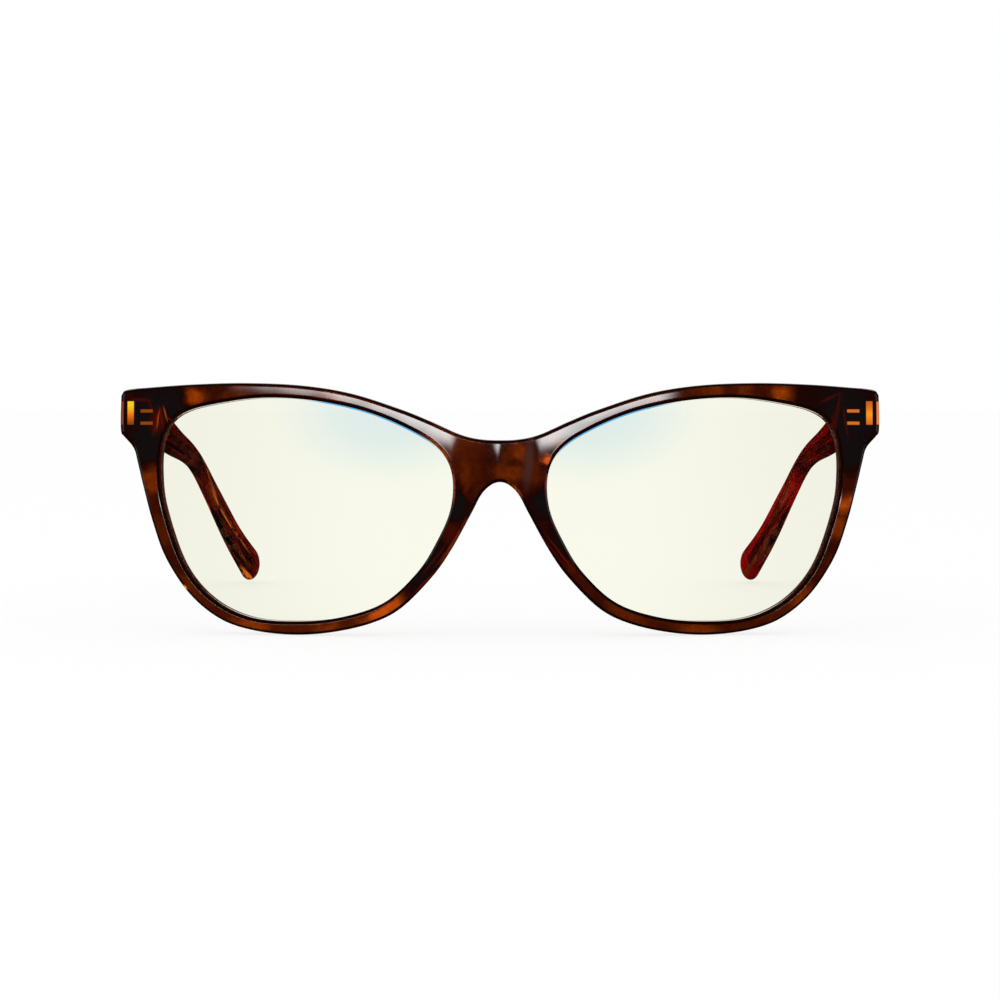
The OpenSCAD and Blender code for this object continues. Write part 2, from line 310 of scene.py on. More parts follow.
def inside_column(opening, cut, edge, side):
    """From the back face's outer end over the opening's wall to the face's outer end."""
    back_cut = on_face(behind_lens_plane(opening + cut * BACK_ROUND, FRONT_T))
    points = []
    for i in range(BACK_ROWS):
        flat = edge.lerp(back_cut, i / BACK_ROWS)
        points.append(at_depth(*flat, back_depth(*flat)))
    wall = [
        (BACK_ROUND * (1 - math.sin(a)), FRONT_T - BACK_ROUND * (1 - math.cos(a)))
        for a in arc(BACK_ROUND_STEPS)
    ]
    groove_front, groove_back, groove_deep = GROOVE
    wall += [(0, groove_back + GROOVE_LIP), (groove_deep, groove_back)]
    wall += [(groove_deep, groove_front), (0, groove_front - GROOVE_LIP)]
    wide = INNER_ROUND * math.sin(math.pi / 4)
    deep = INNER_ROUND * (1 - math.cos(math.pi / 4))
    chamfer_end = behind_lens_plane(opening + cut * (CHAMFER + wide), 0)
    relief = bridge_relief(side * on_face(chamfer_end).x)
    wall += [(0, relief + deep + CHAMFER), (CHAMFER, relief + deep)]
    wall += [
        (CHAMFER + wide - INNER_ROUND * math.sin(a), relief + INNER_ROUND * (1 - math.cos(a)))
        for a in (math.pi / 4 * (1 - i / ROUND_STEPS) for i in range(1, ROUND_STEPS + 1))
    ]
    points += [behind_lens_plane(opening + cut * out, depth) for out, depth in wall]
    face_start = on_face(points[-1])
    hem = FACE_HEM / (edge - face_start).length
    for share in [hem] + [i / FACE_ROWS for i in range(1, FACE_ROWS)] + [1 - hem, 1]:
        flat = face_start.lerp(edge, share)
        points.append(at_depth(*flat, bridge_relief(side * flat.x)))
    return points


def outside_column(outline, inward, side):
    """Over the front's outer edge, between the outer ends of the face and of the back face."""
    edge = edge_round(*outline)
    points = []
    for a in arc(ROUND_STEPS)[1:]:
        flat = outline + inward * edge * (1 - math.sin(a))
        depth = bridge_relief(side * outline[0]) + edge * (1 - math.cos(a))
        points.append(at_depth(*flat, depth))
    deep = back_depth(*outline)
    points.append(at_depth(*outline, (deep + edge) / 2))
    for a in reversed(arc(ROUND_STEPS)[1:]):
        flat = outline + inward * edge * (1 - math.sin(a))
        points.append(at_depth(*flat, deep - BACK_ROUND * (1 - math.cos(a))))
    return points


def eased_angles(aims):
    """The angles of a clockwise loop of points, with the steps between them evened out."""
    angles = [math.atan2(aims[0].y, aims[0].x)]
    for aim in aims[1:]:
        step = math.atan2(aim.y, aim.x) - angles[-1]
        angles.append(angles[-1] + math.atan2(math.sin(step), math.cos(step)))
    for _ in range(EASING_PASSES):
        before = [angles[-1] + 2 * math.pi] + angles[:-1]
        after = angles[1:] + [angles[0] - 2 * math.pi]
        angles = [(a + 2 * b + c) / 4 for a, b, c in zip(before, angles, after)]
    return angles


def front_piece():
    opening = Opening()
    (x_top, z_top), (x_arch, z_arch) = HALF_OUTLINE[1], HALF_OUTLINE[-2]
    drawn = open_curve([(-x_top, z_top), *HALF_OUTLINE, (-x_arch, z_arch)], OUTLINE_STEPS)
    outline = [Vector((x * STRETCH, z)) for x, z in drawn[OUTLINE_STEPS:-OUTLINE_STEPS]]
    inward = normals_of(outline, closed=False)
    inward[0], inward[-1] = Vector((0, -1)), Vector((0, 1))
    outline = [
        p - n * OUTLINE_EASE * (1 - smooth(*EASED_BELOW, p.y)) for p, n in zip(outline, inward)
    ]
    top, bottom = outline[0].y - OUTER_ROUND, outline[-1].y + OUTER_ROUND
    share = [(i + 1) / (MIDLINE_COLUMNS + 1) for i in range(MIDLINE_COLUMNS)]
    midline = [Vector((0, mixed(bottom, top, t))) for t in share]
    edges = [p + n * edge_round(*p) for p, n in zip(outline, inward)] + midline
    aims = [in_lens_plane(at_depth(*p, 0)) for p in outline + midline]
    ring = [opening.at(angle) for angle in eased_angles(aims)]
    cuts = [-n for n in normals_of(ring, closed=True)]
    grid = Grid()
    for side in (1, -1):
        inner, outer = [], []
        for hole, cut, edge in zip(ring, cuts, edges):
            inner.append(grid.column(inside_column(hole, cut, edge, side), side))
        for i, (point, way) in enumerate(zip(outline, inward)):
            column = grid.column(outside_column(point, way, side), side)
            outer.append([inner[i][-1]] + column + [inner[i][0]])
        grid.strip(inner, closed=True)
        grid.strip(outer)
    piece = make_piece("tortoise_front", grid.points, grid.faces, weld=WELD * MM)
    to_front = FRONT_TO_ROW.inverted()
    for face in piece.data.polygons:
        centre = to_front @ face.center
        flat = in_lens_plane(Vector((abs(centre.x), centre.y, centre.z)))
        off_wall = flat.length - opening.at(math.atan2(flat.y, flat.x)).length
        face.material_index = 1 if abs(off_wall) < WALL_BAND else 0
    return piece


# ---- Lenses -------------------------------------------------------------------------------------

LENS_FRONT, LENS_BACK = 1.2, 3.2
LENS_RINGS = 12
LENS_COLUMNS = 168
LENS_PLAY = 0.1             # between the lens's disc and the opening
LENS_BEVEL = 0.1
LENS_SHARP_ANGLE = math.radians(25)
BEAD = (1.8, 2.6, 0.62)     # front depth, back depth and reach past the opening
GLINT_WIDTH = 0.24          # the band inside the rim that carries the painted blue glint
# The faces' rows, counted from the middle of the lens's front.
GLINT_ROWS = range(LENS_RINGS, LENS_RINGS + 2)
GROUND_ROWS = range(LENS_RINGS + 2, LENS_RINGS + 8)


def lens_piece(name, side):
    opening = Opening()
    ring = [opening.at(2 * math.pi * i / LENS_COLUMNS) for i in range(LENS_COLUMNS)]
    outward = normals_of(ring, closed=True)
    grid = Grid()
    centre = grid.column([behind_lens_plane((0, 0), d) for d in (LENS_FRONT, LENS_BACK)], side)
    columns = []
    inner_rings = [i / LENS_RINGS for i in range(1, LENS_RINGS)]
    bead_front, bead_back, bead_reach = BEAD
    for rim, out in zip(ring, outward):
        disc = rim - out * LENS_PLAY
        eased = disc - out * LENS_BEVEL
        bead = rim + out * bead_reach
        steps = [(disc * share, LENS_FRONT) for share in inner_rings]
        steps += [(disc - out * GLINT_WIDTH, LENS_FRONT), (eased, LENS_FRONT)]
        steps += [(disc, LENS_FRONT + LENS_BEVEL), (disc, bead_front)]
        steps += [(bead, bead_front), (bead, bead_back)]
        steps += [(disc, bead_back), (disc, LENS_BACK - LENS_BEVEL), (eased, LENS_BACK)]
        steps += [(disc * share, LENS_BACK) for share in reversed(inner_rings)]
        column = grid.column([behind_lens_plane(flat, depth) for flat, depth in steps], side)
        columns.append([centre[0]] + column + [centre[1]])
    grid.strip(columns, closed=True)
    piece = make_piece(name, grid.points, grid.faces, sharp=LENS_SHARP_ANGLE)
    for face in piece.data.polygons:
        row = face.index % (len(columns[0]) - 1)
        if row in GLINT_ROWS:
            face.material_index = 1
        elif row in GROUND_ROWS:
            face.material_index = 2
    return piece


# ---- Nose pads ----------------------------------------------------------------------------------

# The ridge of the left pad along the nasal edge of the rim: x, z and half width.
PAD_LINE = [
    (5.6, 2.0, 0.4), (6.5, 0.9, 0.7), (7.3, -0.8, 0.9), (8.9, -4.0, 1.05), (11, -7.6, 1.0),
    (12.6, -10.1, 0.8), (13.8, -11.9, 0.4),
]
PAD_SPLAY = math.tan(math.radians(6))
PAD_SINK = 0.35             # how far the pad's foot is sunk in the back of the rim
PAD_DOME = Vector((10, 2.6, -5))
PAD_DOME_R = 9.0            # the pad's crest follows a dome of this radius about that point
PAD_CREST_X = 0.9           # the crest's place beside the ridge line
PAD_MIN_RISE_SQUARED = 4.0
PAD_EASE = 0.15             # the crest stays this far inside the dome
PAD_TAPER = 0.05            # narrowing of the pad for each millimetre of height
PAD_SPAN = (0.03, 0.97)     # keeps the pad's two ends from coming to a point
PAD_LINE_STEPS = 6
PAD_STEPS = 20
PAD_SHARP_ANGLE = math.radians(60)


def nose_pad_piece(name, side):
    grid = Grid()
    columns = []
    line = open_curve(PAD_LINE, PAD_LINE_STEPS)
    for i, (x, z, half) in enumerate(line):
        before, after = line[max(i - 1, 0)], line[min(i + 1, len(line) - 1)]
        across = Vector((after[1] - before[1], 0, before[0] - after[0])).normalized()
        foot = at_depth(x, z, FRONT_T - PAD_SINK)
        left = PAD_DOME_R ** 2 - (x + PAD_CREST_X - PAD_DOME.x) ** 2 - (z - PAD_DOME.z) ** 2
        crest = PAD_DOME.y + math.sqrt(max(PAD_MIN_RISE_SQUARED, left))
        share = min(max(i / (len(line) - 1), PAD_SPAN[0]), PAD_SPAN[1])
        rise = (crest - foot.y - PAD_EASE) * math.sin(math.pi * share) ** 0.45
        column = []
        for j in range(PAD_STEPS + 1):
            a = math.pi * j / PAD_STEPS
            width = half * math.copysign(abs(math.cos(a)) ** 0.75, math.cos(a))
            height = rise * math.sin(a) ** 0.7 if 0 < j < PAD_STEPS else 0.0
            point = foot + across * width * (1 - PAD_TAPER * height)
            column.append(point + Vector((PAD_SPLAY * height, height, 0)))
        columns.append(grid.column(column, side))
    grid.strip(columns)
    for end in (columns[0], columns[-1]):
        grid.faces.append(list(end))
    for a, b in zip(columns, columns[1:]):
        grid.faces.append([a[0], b[0], b[-1], a[-1]])
    return make_piece(name, grid.points, grid.faces, sharp=PAD_SHARP_ANGLE)


# ---- Temples ------------------------------------------------------------------------------------

# Stations of x, y, z, half height square to the run, and half thickness.
TEMPLE_PATH = [
    (66.6, 15, 16.85, 4.45, 2.2),
    (65.9, 38, 15.2, 3.25, 1.85),
    (65.3, 60, 13.05, 2.6, 1.65),
    (64.8, 82, 11.2, 2.1, 1.55),
    (64.2, 97, 8.5, 1.9, 1.55),
    (62.6, 113, 2.3, 2.1, 1.65),
    (59.8, 129, -6.4, 3, 1.8),
    (57, 141, -12.8, 3.75, 2.1),
]
PATH_STEPS = 12
JOINT_GAP = 0.1             # between the temple's front end and the joint plane
BUTT_ROUND = 0.3            # rounding of the temple's front end
BUTT_STEPS = 4
TIP_REACH = 3.6             # how far the rounded tip goes past the last station
TIP_STEPS = 12
TIP_BLUNTNESS = 0.9         # under 1 the tip is blunter from above than an ellipse
SECTION_POINTS = 40
# The sections' roundness: 2 is an ellipse, more is squarer.
JOINT_POWER = 5.5
EAR_POWER = 2.6
TIP_POWER_DROP = 0.6
ROUNDING_Y = (20, 110)      # where the sections go from the joint's power to the ear's
TIP_ROUNDING_Y = (115, 138)


def section_point(angle, half_t, half_h, power):
    c, s = math.cos(angle), math.sin(angle)
    return (
        half_t * math.copysign(abs(c) ** (2 / power), c),
        half_h * math.copysign(abs(s) ** (2 / power), s),
    )


def temple_stations():
    """Centre, side, up, half thickness, half height, roundness power and run of each section."""
    path = [
        (x * STRETCH, y, z, h, t) for x, y, z, h, t in open_curve(TEMPLE_PATH, PATH_STEPS)
    ]
    stations = []
    for i, (x, y, z, half_h, half_t) in enumerate(path):
        before, after = path[max(i - 1, 0)], path[min(i + 1, len(path) - 1)]
        run = Vector(after[:3]) - Vector(before[:3])
        run.normalize()
        if i == 0:
            run = Vector((0, 1, 0))
        side = Vector((run.y, -run.x, 0)).normalized()
        up = side.cross(run).normalized()
        centre = Vector((x, y + (JOINT_GAP if i == 0 else 0), z))
        power = mixed(JOINT_POWER, EAR_POWER, smooth(*ROUNDING_Y, y))
        power -= TIP_POWER_DROP * smooth(*TIP_ROUNDING_Y, y)
        stations.append((centre, side, up, half_t, half_h, power, run))
    return stations


def temple_piece(name, hand):
    stations = temple_stations()
    middle, side, up, half_t, half_h, *rest = stations[0]
    butt = []
    for a in arc(BUTT_STEPS)[:-1]:
        shrink = BUTT_ROUND * (1 - math.sin(a))
        centre = middle + Vector((0, BUTT_ROUND * (1 - math.cos(a)), 0))
        butt.append((centre, side, up, half_t - shrink, half_h - shrink, *rest))
    butt.append((middle + Vector((0, BUTT_ROUND, 0)), side, up, half_t, half_h, *rest))
    middle, side, up, half_t, half_h, power, run = stations[-1]
    tip = []
    for i in range(1, TIP_STEPS):
        a = math.pi / 2 * i / TIP_STEPS
        centre = middle + run * TIP_REACH * math.sin(a)
        thinner = half_t * math.cos(a) ** TIP_BLUNTNESS
        tip.append((centre, side, up, thinner, half_h * math.cos(a), power, run))
    start, end = butt[0][0], middle + run * TIP_REACH
    grid = Grid()
    columns = []
    for centre, side, up, half_t, half_h, power, _ in butt + stations[1:] + tip:
        column = []
        for j in range(SECTION_POINTS):
            angle = 2 * math.pi * (j + 0.5) / SECTION_POINTS
            across, rise = section_point(angle, half_t, half_h, power)
            column.append(centre + side * across + up * rise)
        column = grid.column(column, hand)
        columns.append(column + column[:1])
    grid.strip(columns)
    grid.cap(columns[0][:-1], Vector((hand * start.x, start.y, start.z)))
    grid.cap(columns[-1][:-1], Vector((hand * end.x, end.y, end.z)))
    return make_piece(name, grid.points, grid.faces)


# ---- Material tools -----------------------------------------------------------------------------

class Paint:
    """Short calls for building one node material in the front's millimetres."""

    def __init__(self, name):
        self.material = bpy.data.materials.new(name)
        self.material.use_nodes = True
        self.tree = self.material.node_tree
        self.surface = self.tree.nodes["Principled BSDF"]
        coords = self.tree.nodes.new("ShaderNodeTexCoord")
        placing = self.tree.nodes.new("ShaderNodeMapping")
        placing.vector_type = "TEXTURE"
        placing.inputs["Location"].default_value = FRONT_TO_ROW.to_translation()
        placing.inputs["Rotation"].default_value = (-lean, 0, 0)
        placing.inputs["Scale"].default_value = (MM, MM, MM)
        self.link(coords.outputs["Object"], placing.inputs["Vector"])
        self.place = placing.outputs["Vector"]
        self.normal = coords.outputs["Normal"]

    def link(self, output, socket):
        self.tree.links.new(output, socket)

    def fill(self, socket, value):
        if isinstance(value, bpy.types.NodeSocket):
            self.link(value, socket)
        else:
            socket.default_value = value

    def node(self, kind, output=0, settings=(), **values):
        """Adds a node. Each value goes to the input of its name, or of its number for i0 and on."""
        made = self.tree.nodes.new(kind)
        for key, value in dict(settings).items():
            setattr(made, key, value)
        for key, value in values.items():
            numbered = key[0] == "i" and key[1:].isdigit()
            self.fill(made.inputs[int(key[1:]) if numbered else key], value)
        return made.outputs[output]

    def math(self, operation, a, b=0.0, clamp=False):
        return self.node("ShaderNodeMath", settings={"operation": operation, "use_clamp": clamp},
                         i0=a, i1=b)

    def vector(self, operation, a, b=(0, 0, 0), output=0):
        return self.node("ShaderNodeVectorMath", output, {"operation": operation}, i0=a, i1=b)

    def noise(self, scale, detail, where=None, distortion=0.0, output=0):
        return self.node("ShaderNodeTexNoise", output, Vector=where or self.place, Scale=scale,
                         Detail=detail, Distortion=distortion)

    def ramp(self, value, stops):
        made = self.tree.nodes.new("ShaderNodeValToRGB")
        while len(made.color_ramp.elements) < len(stops):
            made.color_ramp.elements.new(0.5)
        for element, (at, colour) in zip(made.color_ramp.elements, stops):
            element.position = at
            element.color = (*colour, 1)
        self.link(value, made.inputs[0])
        return made.outputs[0]

    def step(self, value, low, high):
        """0 below low and 1 above high, smooth between; falling if low is above high."""
        if low > high:
            return self.math("SUBTRACT", 1.0, self.step(value, high, low))
        return self.node("ShaderNodeMapRange", settings={"interpolation_type": "SMOOTHSTEP"},
                         Value=value, i1=low, i2=high)

    def mix(self, share, a, b):
        return self.node("ShaderNodeMix", 2, {"data_type": "RGBA"}, i0=share, i6=a, i7=b)

    def mix_value(self, share, a, b):
        return self.node("ShaderNodeMix", 0, {"data_type": "FLOAT"}, i0=share, i2=a, i3=b)

    def axes(self, vector):
        made = self.tree.nodes.new("ShaderNodeSeparateXYZ")
        self.link(vector, made.inputs[0])
        return made.outputs

    def blob(self, where, x, z, half_x, half_z, tilt=0.0, soft=1.3):
        """1 in the middle of a soft oval patch on the face, 0 outside it."""
        moved = self.vector("SUBTRACT", where, (x, 0, z))
        if tilt:
            moved = self.node("ShaderNodeVectorRotate", settings={"rotation_type": "Y_AXIS"},
                              Vector=moved, Angle=math.radians(-tilt))
        scaled = self.vector("MULTIPLY", moved, (1 / half_x, 0, 1 / half_z))
        reach = self.vector("LENGTH", scaled, output=1)
        return self.step(reach, 1 + soft / 2, 1 - soft / 2)

    def bar(self, x, z, half_x, half_z, soft=0.08):
        """1 inside an upright rectangle on the face."""
        along, _, up = self.axes(self.place)
        wide = self.math("ABSOLUTE", self.math("SUBTRACT", along, x))
        high = self.math("ABSOLUTE", self.math("SUBTRACT", up, z))
        return self.math("MULTIPLY", self.step(wide, half_x + soft, half_x - soft),
                         self.step(high, half_z + soft, half_z - soft))

    def offset(self, value, reach):
        """How far a noise value is from its middle, times the reach."""
        return self.math("MULTIPLY", self.math("SUBTRACT", value, 0.5), reach)

    def colour(self, output):
        self.link(output, self.surface.inputs["Base Color"])

    def bump(self, height, strength, distance):
        made = self.node("ShaderNodeBump", Strength=strength, Distance=distance * MM, Height=height)
        self.link(made, self.surface.inputs["Normal"])


# ---- Tortoise acetate of the front --------------------------------------------------------------

TORTOISE_RAMP = [
    (0.00, (0.0068, 0.0046, 0.0046)),
    (0.10, (0.0066, 0.0036, 0.0034)),
    (0.25, (0.012, 0.0016, 0.0008)),
    (0.45, (0.042, 0.0044, 0.0006)),
    (0.62, (0.088, 0.0112, 0.0006)),
    (0.78, (0.210, 0.0290, 0.0014)),
    (1.00, (0.640, 0.0900, 0.0040)),
]
# Patches of the front: x, z, half width, half height, tilt and tone (0 black, 1 bright orange).
FRONT_PATCHES = [
    # wearer's right end piece and rim
    (-62, 17, 8, 7, 0, 0.03), (-64.5, 11, 3.4, 3.4, 0, 0.0), (-55.8, 20.6, 2.2, 1.8, 10, 0.80),
    (-63.4, 5.2, 2.6, 3.0, 0, 0.70), (-62.6, 0.6, 2.4, 2.0, 0, 0.42),
    (-62.2, -4, 2.6, 2.6, 0, 0.55), (-60, -9.5, 2.6, 2.6, 30, 0.42),
    (-56.5, -14.6, 3.4, 2, 45, 0.60), (-51.5, -18.8, 3.2, 2, 30, 0.50),
    (-45.3, -21.3, 3.6, 1.6, 8, 0.78), (-37.5, -22, 3.2, 1.4, 0, 0.55),
    (-31.5, -21.8, 2.6, 1.6, 0, 0.72), (-26.6, -20.9, 1.6, 1.8, 0, 0.55),
    (-20.8, -18.4, 4.8, 2.2, -32, 0.92), (-14.2, -13.2, 2.4, 3.4, 40, 0.10),
    (-11.8, -9.6, 2.6, 4.2, 25, 0.12), (-8.5, -4.6, 1.6, 1.8, 25, 0.34),
    (-8, 0.4, 3.2, 2.8, 20, 0.04),
    # bridge
    (-4.6, 8.2, 2.6, 4.4, 0, 0.50), (-6.3, 6.4, 0.7, 3.4, 0, 0.60), (-1.8, 9, 1.6, 4, 0, 0.38),
    (1.8, 6.4, 3.2, 1.5, 0, 0.66), (3.4, 10.3, 1.9, 1.6, 20, 0.68), (2.4, 8.6, 0.9, 0.9, 0, 0.46),
    (6.2, 6.6, 1.1, 3, 0, 0.55), (10.6, 11.9, 2, 1.2, 30, 0.66), (8.6, 8.9, 1.25, 1.1, 0, 1.0),
    # wearer's left rim
    (8.6, 1, 3.4, 3, -20, 0.06), (11.2, -6, 2.6, 4.5, -25, 0.16), (15.6, -13.6, 3, 3, -35, 0.44),
    (22, -18.9, 3.6, 1.8, 28, 0.62), (29.6, -21.6, 2.6, 1.6, 12, 0.48),
    (36.3, -22, 4, 1.4, 0, 0.70), (44, -21.6, 2.8, 1.6, 0, 0.48),
    (51, -18.9, 2.8, 1.8, -30, 0.52), (55.6, -15.8, 2.4, 2, -45, 0.70),
    (58.6, -11.4, 2.4, 2.6, -30, 0.42), (60.6, -6.6, 2, 2, 0, 0.36),
    (61.4, -3.4, 2.2, 1.8, 0, 0.72), (63.6, 1.2, 1.8, 1.8, 0, 0.84),
    (62.6, 4.8, 2.6, 2.2, 0, 0.40), (64.5, 10.6, 3.6, 3.4, 0, 0.0), (63, 17, 8, 7, 0, 0.03),
    (56.5, 20, 3, 2.4, 0, 0.22), (51.6, 21, 1.9, 1.6, 0, 0.80), (47.6, 21.6, 1.6, 1.6, 0, 0.44),
    (44.6, 22, 1.2, 1.6, 0, 0.66), (39.4, 21.6, 1.4, 1.8, 0, 0.66), (33, 20.6, 2.6, 2, 0, 0.48),
]
PATCH_DRIFT = 2.6           # how far noise moves the patches' outlines
GLINT_DRIFT = 0.12          # share of it that moves the glints
PAINTED_EDGE_SHADE = (0.0065, 0.0014, 0.0008)
# Painted shade on the edges darkens, then ends, between these cosines of their lean from the face.
EDGE_TURN = (0.985, 0.93)
EDGE_END = (0.2, 0.5)
RED, ORANGE, AMBER = (0.100, 0.004, 0.002), (0.330, 0.050, 0.003), (0.900, 0.300, 0.010)
DEEP_RED, PLUM = (0.050, 0.003, 0.002), (0.060, 0.020, 0.016)
# Light caught inside the acetate: x, z, half width, half height, tilt and colour.
GLINTS = [
    (-62.9, 16.2, 1.1, 2.0, 12, DEEP_RED), (-63.3, 15.6, 0.16, 1.7, 12, RED),
    (-62.8, 16.4, 0.12, 1.5, 9, ORANGE), (-62.1, 16.4, 0.12, 1.7, -8, RED),
    (-61.4, 17.4, 0.12, 1.2, -16, ORANGE), (-60.6, 16.5, 0.7, 0.13, 28, RED),
    (-66.3, 20.1, 1.8, 0.3, 6, DEEP_RED), (-64.2, 18.9, 0.2, 1.2, -20, DEEP_RED),
    (62.0, 18, 0.25, 2.6, 8, DEEP_RED), (63.5, 15.8, 0.2, 2.4, -8, DEEP_RED),
    (60.6, 20.4, 1.8, 0.25, -25, DEEP_RED), (61.2, 15.2, 0.5, 1.9, 6, DEEP_RED),
    (5.2, 8.6, 0.8, 4.0, 5, PLUM), (-8.7, -4.4, 0.7, 1.4, 25, DEEP_RED),
    (-9.6, -7.6, 0.16, 3.2, 36, RED), (-11.8, -9.0, 0.16, 3.4, 38, DEEP_RED),
    (-13.8, -13.4, 0.16, 2.6, 44, RED), (9.6, -7.6, 0.16, 3.4, -36, DEEP_RED),
    (11.2, -8.4, 0.16, 3.6, -38, RED), (-21.5, -17.8, 3.4, 0.16, -30, RED),
]
# The same, only where the edge turns away.
EDGE_GLINTS = [
    (-11.0, 10.5, 3.2, 3.6, -45, ORANGE), (-7.6, 4.2, 0.8, 4.5, 0, (0.30, 0.03, 0.003)),
    (3.0, 3.8, 1.5, 1.6, 40, ORANGE), (7.6, 6.4, 0.8, 3.4, 0, (0.22, 0.010, 0.004)),
    (-8.6, -7.4, 1.0, 5.5, 25, (0.14, 0.02, 0.003)), (-57.9, -14.4, 0.5, 0.5, 0, AMBER),
]
# Painted light in each end piece, for light through the acetate: a tall window on the face, its
# tail round the side, and two bars in front of the hinge leaf's prongs. Each is x, z, half width
# and half height on the left.
WINDOW = (68.0, 17.65, 0.6, 2.15)
TAIL = (70.0, 17.65, 0.6, 2.1)
TAIL_END = (12.4, 12.2)     # the depth at which the tail stops
BAR_X = 64.95
BAR_Z = HINGE_Z - 0.05
BAR_RISES = (-1.1, 1.15)
BAR_SIZE = (1.15, 0.28)
GLOW_RISE = (15.0, 19.8)    # the heights over which the window's colour changes
RIGHT_GLOW = [(0.0, (0.20, 0.030, 0.002)), (0.5, (0.90, 0.19, 0.008)), (1.0, (1.0, 0.64, 0.012))]
LEFT_GLOW = [(0.0, (0.70, 0.130, 0.012)), (0.5, (1.00, 0.33, 0.018)), (1.0, (0.62, 0.13, 0.010))]
# Side, colours of the window, tail and bars.
END_GLOWS = [
    (-1, RIGHT_GLOW, (0.22, 0.034, 0.002, 1), (0.30, 0.058, 0.003, 1)),
    (1, LEFT_GLOW, (0.95, 0.22, 0.04, 1), (0.70, 0.17, 0.014, 1)),
]
WALL_RAMP = [(0.35, (0.020, 0.0020, 0.0008)), (0.7, (0.085, 0.013, 0.004))]


def opening_wall():
    """The unpolished wall of the lens openings."""
    paint = Paint("opening_wall_acetate")
    paint.colour(paint.ramp(paint.noise(0.8, 3), WALL_RAMP))
    paint.surface.inputs["Roughness"].default_value = 0.45
    paint.surface.inputs["Specular IOR Level"].default_value = 0.0
    return paint.material


def polish(paint, roughness=0.05):
    surface = paint.surface.inputs
    surface["Roughness"].default_value = roughness
    surface["IOR"].default_value = 1.49


def acetate_front(name, with_edge_shade=True):
    """Tortoise acetate, with painted near-black shade where its edges turn away, if asked for."""
    paint = Paint(name)
    swirl = paint.noise(0.45, 3, output=1)
    warp = paint.vector("SCALE", paint.vector("SUBTRACT", swirl, (0.5, 0.5, 0.5)))
    warp.node.inputs["Scale"].default_value = PATCH_DRIFT
    where = paint.vector("ADD", paint.place, warp)
    cloud = paint.noise(0.13, 3, distortion=0.8)
    tone = paint.math("ADD", paint.math("MULTIPLY", cloud, 1.1), -0.08)
    for x, z, half_x, half_z, tilt, level in FRONT_PATCHES:
        tone = paint.mix_value(paint.blob(where, x, z, half_x, half_z, tilt), tone, level)
    fine = paint.noise(0.9, 4, distortion=0.4)
    tone = paint.math("ADD", tone, paint.offset(fine, 0.22))
    tone = paint.math("ADD", tone, paint.offset(paint.noise(5.0, 3), 0.22), clamp=True)
    colour = paint.ramp(tone, TORTOISE_RAMP)
    from_centre = paint.vector("SUBTRACT", paint.place, tuple(DOME_CENTRE))
    outward = paint.vector("NORMALIZE", from_centre)
    turned_back = paint.node("ShaderNodeVectorRotate", settings={"rotation_type": "X_AXIS"},
                             Vector=paint.normal, Angle=lean)
    facing = paint.math("ABSOLUTE", paint.vector("DOT_PRODUCT", turned_back, outward, output=1))
    # Painted shade: the edges that turn away from the face are painted near black.
    edge = paint.math("MULTIPLY", paint.step(facing, *EDGE_TURN), paint.step(facing, *EDGE_END))
    if with_edge_shade:
        colour = paint.mix(edge, colour, (*PAINTED_EDGE_SHADE, 1))
    drift = paint.vector("MULTIPLY", warp, (GLINT_DRIFT,) * 3)
    nearly = paint.vector("ADD", paint.place, drift)
    # Painted glints of light caught inside the acetate.
    for x, z, half_x, half_z, tilt, shade in GLINTS:
        stroke = paint.blob(nearly, x, z, half_x, half_z, tilt, soft=1.4)
        colour = paint.mix(stroke, colour, (*shade, 1))
    # Painted glints of caught light where the edges turn away.
    for x, z, half_x, half_z, tilt, shade in EDGE_GLINTS:
        stroke = paint.math("MULTIPLY", paint.blob(paint.place, x, z, half_x, half_z, tilt), edge)
        stroke = paint.math("MULTIPLY", stroke, paint.step(fine, 0.3, 0.6))
        colour = paint.mix(stroke, colour, (*shade, 1))
    in_front = paint.step(paint.math("MULTIPLY", paint.axes(paint.normal)[1], -1.0), 0.5, 0.7)
    above = paint.step(paint.axes(paint.place)[2], *GLOW_RISE)
    at_front = paint.step(paint.axes(paint.place)[1], *TAIL_END)
    # Painted glow of light through each end piece, over the tortoise colour.
    for side, shades, tail_colour, bar_colour in END_GLOWS:
        window = paint.math("MULTIPLY", in_front, paint.bar(side * WINDOW[0], *WINDOW[1:]))
        colour = paint.mix(window, colour, paint.ramp(above, shades))
        tail = paint.math("MULTIPLY", at_front, paint.bar(side * TAIL[0], *TAIL[1:]))
        colour = paint.mix(tail, colour, tail_colour)
        for rise in BAR_RISES:
            bar = paint.bar(side * BAR_X, BAR_Z + rise, *BAR_SIZE)
            colour = paint.mix(paint.math("MULTIPLY", bar, in_front), colour, bar_colour)
    paint.colour(colour)
    polish(paint)
    paint.bump(paint.noise(0.11, 1), 0.25, 0.2)
    return paint.material


# ---- Temple acetate -----------------------------------------------------------------------------

BEND_Y = 92                 # where the temple bends down over the ear
ARM_DROP, EAR_DROP = 0.085, 0.43
LENGTHWISE = 0.34           # stretches the pattern along the temple
BRIGHT_STREAK, DIM_STREAK = (0.85, 0.16, 0.006), (0.13, 0.016, 0.001)
